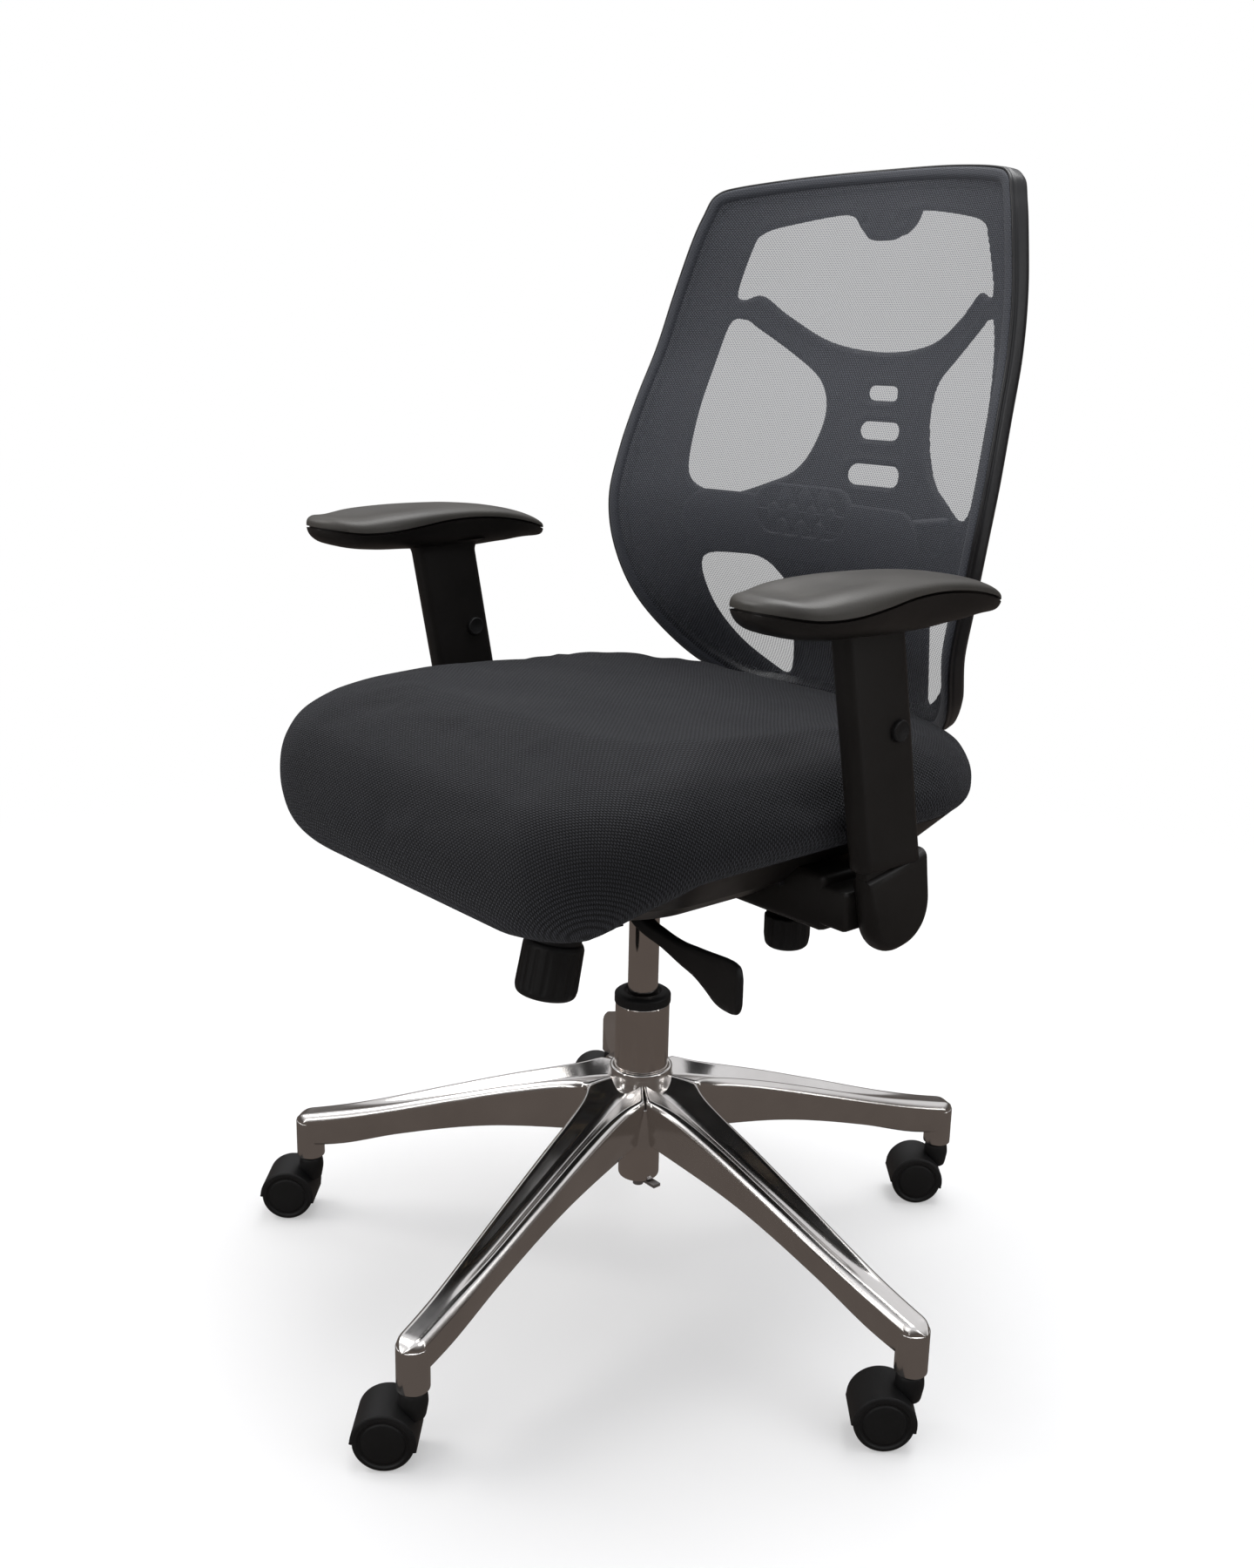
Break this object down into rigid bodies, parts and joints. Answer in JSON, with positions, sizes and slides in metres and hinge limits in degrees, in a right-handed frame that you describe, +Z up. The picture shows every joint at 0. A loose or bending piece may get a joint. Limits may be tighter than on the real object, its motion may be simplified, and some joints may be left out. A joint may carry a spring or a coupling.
{
  "type": "swivel office chair",
  "caption": "Swivel task chair: mesh back on a pierced frame, knitted seat, height-adjustable T arms, gas lift, polished star base on twin-wheel casters.",
  "frame": {"origin": "on the floor, on the axis of the gas column, under the middle of the star base", "axes": "+Z up, -Y to the front of the seat, +Y to the back, +X to the sitter's left"},
  "size_m": [0.6884, 0.7091, 1.016],
  "materials": {
    "polished_aluminium": "polished die cast",
    "chrome": "bright chrome",
    "steel": "zinc plated",
    "painted_steel": "black powder coat",
    "black_nylon": "fine texture",
    "black_shell": "satin texture",
    "black_frame": "satin",
    "wheel_nylon": "satin",
    "lumbar_plastic": "satin",
    "plywood": "bare",
    "seat_fabric": "black spacer knit",
    "mesh_fabric": "open slate mesh",
    "pad_skin": "soft satin polyurethane"
  },
  "bodies": {
    "base": {"base_star": "polished_aluminium", "column_tube": "chrome", "column_bush": "black_nylon"},
    "swivel": {"piston_rod": "steel", "thrust_bearing": "steel", "retaining_clip": "steel"},
    "lift": {"gas_cylinder": "chrome", "mechanism_housing": "painted_steel", "pivot_pins": "steel", "tension_spring": "steel"},
    "valve": {"valve_pin": "steel"},
    "height_lever": {"height_lever": "black_nylon"},
    "tilt_lock": {"tilt_lock_lever": "black_nylon"},
    "tension_knob": {"tension_knob": "black_nylon"},
    "seat": {"seat_cushion": "seat_fabric", "seat_shell": "black_shell", "seat_carrier": "painted_steel", "seat_board": "plywood", "seat_bolts": "steel"},
    "back": {"back_shell": "black_frame", "back_bolts": "steel", "mesh_ring": "black_frame", "back_mesh": "mesh_fabric", "lumbar_pad": "lumbar_plastic", "back_bracket": "painted_steel"},
    "arm_l": {"arm_bracket_l": "black_shell"},
    "arm_top_l": {"arm_sleeve_l": "black_shell", "arm_pad_l": "pad_skin"},
    "arm_button_l": {"arm_button_l": "black_nylon"},
    "arm_knob_l": {"arm_knob_l": "black_nylon"},
    "arm_r": {"arm_bracket_r": "black_shell"},
    "arm_top_r": {"arm_sleeve_r": "black_shell", "arm_pad_r": "pad_skin"},
    "arm_button_r": {"arm_button_r": "black_nylon"},
    "arm_knob_r": {"arm_knob_r": "black_nylon"},
    "caster_1": {"caster_stem_1": "steel", "caster_housing_1": "black_nylon", "caster_axle_1": "steel"},
    "wheel_a_1": {"caster_wheel_a_1": "wheel_nylon"},
    "wheel_b_1": {"caster_wheel_b_1": "wheel_nylon"},
    "caster_2": {"caster_stem_2": "steel", "caster_housing_2": "black_nylon", "caster_axle_2": "steel"},
    "wheel_a_2": {"caster_wheel_a_2": "wheel_nylon"},
    "wheel_b_2": {"caster_wheel_b_2": "wheel_nylon"},
    "caster_3": {"caster_stem_3": "steel", "caster_housing_3": "black_nylon", "caster_axle_3": "steel"},
    "wheel_a_3": {"caster_wheel_a_3": "wheel_nylon"},
    "wheel_b_3": {"caster_wheel_b_3": "wheel_nylon"},
    "caster_4": {"caster_stem_4": "steel", "caster_housing_4": "black_nylon", "caster_axle_4": "steel"},
    "wheel_a_4": {"caster_wheel_a_4": "wheel_nylon"},
    "wheel_b_4": {"caster_wheel_b_4": "wheel_nylon"},
    "caster_5": {"caster_stem_5": "steel", "caster_housing_5": "black_nylon", "caster_axle_5": "steel"},
    "wheel_a_5": {"caster_wheel_a_5": "wheel_nylon"},
    "wheel_b_5": {"caster_wheel_b_5": "wheel_nylon"}
  },
  "joints": [
    {"name": "seat_swivel", "type": "hinge", "parent": "base", "child": "swivel", "pos_m": [0, 0, 0.1], "axis": [0, 0, 1], "continuous": true},
    {"name": "seat_height", "type": "slide", "parent": "swivel", "child": "lift", "axis": [0, 0, 1], "range_m": [-0.085, 0.02]},
    {"name": "lift_valve", "type": "slide", "parent": "lift", "child": "valve", "axis": [0, 0, 1], "range_m": [-0.0085, 0]},
    {"name": "height_lever_lift", "type": "hinge", "parent": "lift", "child": "height_lever", "pos_m": [0.052, -0.072, 0.4083], "axis": [0, -1, 0], "range_deg": [0, 8], "stiffness_Nm_per_rad": 1, "springref_deg": -17.19},
    {"name": "tilt_lock_turn", "type": "hinge", "parent": "lift", "child": "tilt_lock", "pos_m": [-0.1, -0.062, 0.392], "axis": [1, 0, 0], "range_deg": [0, 45]},
    {"name": "tension_knob_turn", "type": "hinge", "parent": "lift", "child": "tension_knob", "pos_m": [0, -0.114, 0.3], "axis": [0, 0.213, 0.977], "continuous": true},
    {"name": "back_recline", "type": "hinge", "parent": "lift", "child": "back", "pos_m": [0, 0.055, 0.4], "axis": [-1, 0, 0], "range_deg": [0, 20], "stiffness_Nm_per_rad": 60, "springref_deg": -28.65},
    {"name": "seat_tilt", "type": "hinge", "parent": "lift", "child": "seat", "pos_m": [0, -0.115, 0.415], "axis": [-1, 0, 0], "range_deg": [0, 8]},
    {"name": "arm_width_l", "type": "slide", "parent": "seat", "child": "arm_l", "axis": [1, 0, 0], "range_m": [-0.009, 0.03]},
    {"name": "arm_height_l", "type": "slide", "parent": "arm_l", "child": "arm_top_l", "axis": [0, -0.1891, 0.982], "range_m": [0, 0.07]},
    {"name": "arm_button_press_l", "type": "slide", "parent": "arm_top_l", "child": "arm_button_l", "axis": [-1, 0, 0], "range_m": [0, 0.0035], "stiffness_N_per_m": 300, "springref_m": -0.004},
    {"name": "arm_knob_turn_l", "type": "hinge", "parent": "arm_l", "child": "arm_knob_l", "pos_m": [0.175, 0.002, 0.39], "axis": [0, 0, 1], "continuous": true},
    {"name": "arm_width_r", "type": "slide", "parent": "seat", "child": "arm_r", "axis": [-1, 0, 0], "range_m": [-0.009, 0.03]},
    {"name": "arm_height_r", "type": "slide", "parent": "arm_r", "child": "arm_top_r", "axis": [0, -0.1891, 0.982], "range_m": [0, 0.07]},
    {"name": "arm_button_press_r", "type": "slide", "parent": "arm_top_r", "child": "arm_button_r", "axis": [-1, 0, 0], "range_m": [0, 0.0035], "stiffness_N_per_m": 300, "springref_m": -0.004},
    {"name": "arm_knob_turn_r", "type": "hinge", "parent": "arm_r", "child": "arm_knob_r", "pos_m": [-0.175, 0.002, 0.39], "axis": [0, 0, 1], "continuous": true},
    {"name": "caster_swivel_1", "type": "hinge", "parent": "base", "child": "caster_1", "pos_m": [0.335, 0, 0.06], "axis": [0, 0, 1], "continuous": true},
    {"name": "wheel_a_roll_1", "type": "hinge", "parent": "caster_1", "child": "wheel_a_1", "pos_m": [0.32111, -0.01575, 0.025], "axis": [0.7501, -0.6613, 0], "continuous": true},
    {"name": "wheel_b_roll_1", "type": "hinge", "parent": "caster_1", "child": "wheel_b_1", "pos_m": [0.32111, -0.01575, 0.025], "axis": [0.7501, -0.6613, 0], "continuous": true},
    {"name": "caster_swivel_2", "type": "hinge", "parent": "base", "child": "caster_2", "pos_m": [0.10352, 0.3186, 0.06], "axis": [0, 0, 1], "continuous": true},
    {"name": "wheel_a_roll_2", "type": "hinge", "parent": "caster_2", "child": "wheel_a_2", "pos_m": [0.08963, 0.30285, 0.025], "axis": [0.7501, -0.6613, 0], "continuous": true},
    {"name": "wheel_b_roll_2", "type": "hinge", "parent": "caster_2", "child": "wheel_b_2", "pos_m": [0.08963, 0.30285, 0.025], "axis": [0.7501, -0.6613, 0], "continuous": true},
    {"name": "caster_swivel_3", "type": "hinge", "parent": "base", "child": "caster_3", "pos_m": [-0.27102, 0.19691, 0.06], "axis": [0, 0, 1], "continuous": true},
    {"name": "wheel_a_roll_3", "type": "hinge", "parent": "caster_3", "child": "wheel_a_3", "pos_m": [-0.28491, 0.18116, 0.025], "axis": [0.7501, -0.6613, 0], "continuous": true},
    {"name": "wheel_b_roll_3", "type": "hinge", "parent": "caster_3", "child": "wheel_b_3", "pos_m": [-0.28491, 0.18116, 0.025], "axis": [0.7501, -0.6613, 0], "continuous": true},
    {"name": "caster_swivel_4", "type": "hinge", "parent": "base", "child": "caster_4", "pos_m": [-0.27102, -0.19691, 0.06], "axis": [0, 0, 1], "continuous": true},
    {"name": "wheel_a_roll_4", "type": "hinge", "parent": "caster_4", "child": "wheel_a_4", "pos_m": [-0.28491, -0.21266, 0.025], "axis": [0.7501, -0.6613, 0], "continuous": true},
    {"name": "wheel_b_roll_4", "type": "hinge", "parent": "caster_4", "child": "wheel_b_4", "pos_m": [-0.28491, -0.21266, 0.025], "axis": [0.7501, -0.6613, 0], "continuous": true},
    {"name": "caster_swivel_5", "type": "hinge", "parent": "base", "child": "caster_5", "pos_m": [0.10352, -0.3186, 0.06], "axis": [0, 0, 1], "continuous": true},
    {"name": "wheel_a_roll_5", "type": "hinge", "parent": "caster_5", "child": "wheel_a_5", "pos_m": [0.08963, -0.33436, 0.025], "axis": [0.7501, -0.6613, 0], "continuous": true},
    {"name": "wheel_b_roll_5", "type": "hinge", "parent": "caster_5", "child": "wheel_b_5", "pos_m": [0.08963, -0.33436, 0.025], "axis": [0.7501, -0.6613, 0], "continuous": true}
  ],
  "couplings": [
    {"joint": "lift_valve", "follows": "height_lever_lift", "m_per_rad": -0.058},
    {"joint": "seat_tilt", "follows": "back_recline", "ratio": 0.38}
  ]
}
